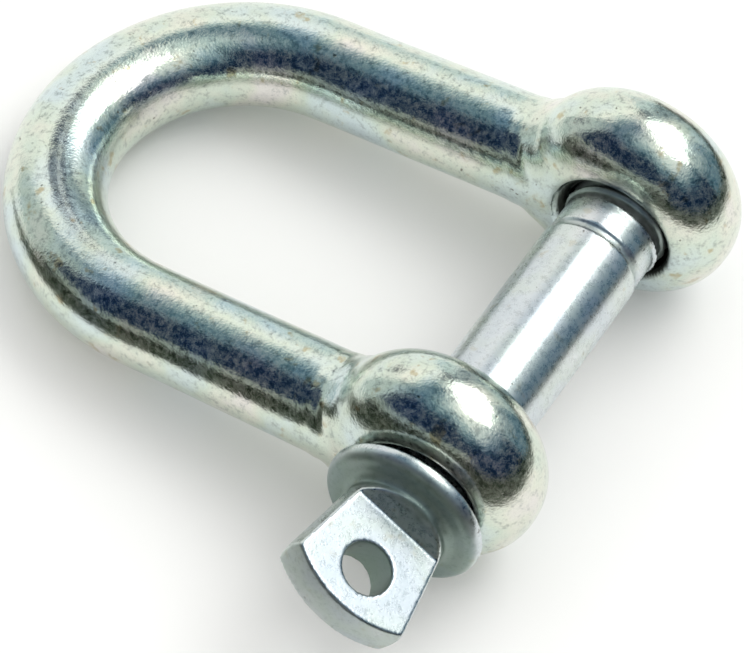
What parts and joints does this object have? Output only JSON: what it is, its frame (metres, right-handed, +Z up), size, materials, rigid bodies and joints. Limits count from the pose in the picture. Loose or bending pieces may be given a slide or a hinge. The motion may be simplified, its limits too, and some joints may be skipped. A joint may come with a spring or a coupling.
{
  "type": "screw pin dee shackle",
  "caption": "Forged D-shaped bow with a bun-shaped eye at each end, closed by a screw pin with a collar and a flattened, drilled head, for joining chain.",
  "frame": {"origin": "on the pin's axis, midway between the two eyes", "axes": "+Y along the pin from its head to its thread, -X towards the crown of the bow, +Z up with the shackle lying on its side"},
  "size_m": [0.0619, 0.0602, 0.0208],
  "materials": {
    "bow_zinc": "bright zinc plate over a mottled forged skin",
    "pin_zinc": "bright zinc plate over a turned shank and a satin, coined head"
  },
  "bodies": {
    "bow": {"bow": "bow_zinc"},
    "screw_pin": {"screw_pin": "pin_zinc"}
  },
  "joints": [
    {"name": "pin_withdraw", "type": "slide", "parent": "bow", "child": "screw_pin", "axis": [0, -1, 0], "range_m": [-0.001, 0.0358]}
  ]
}
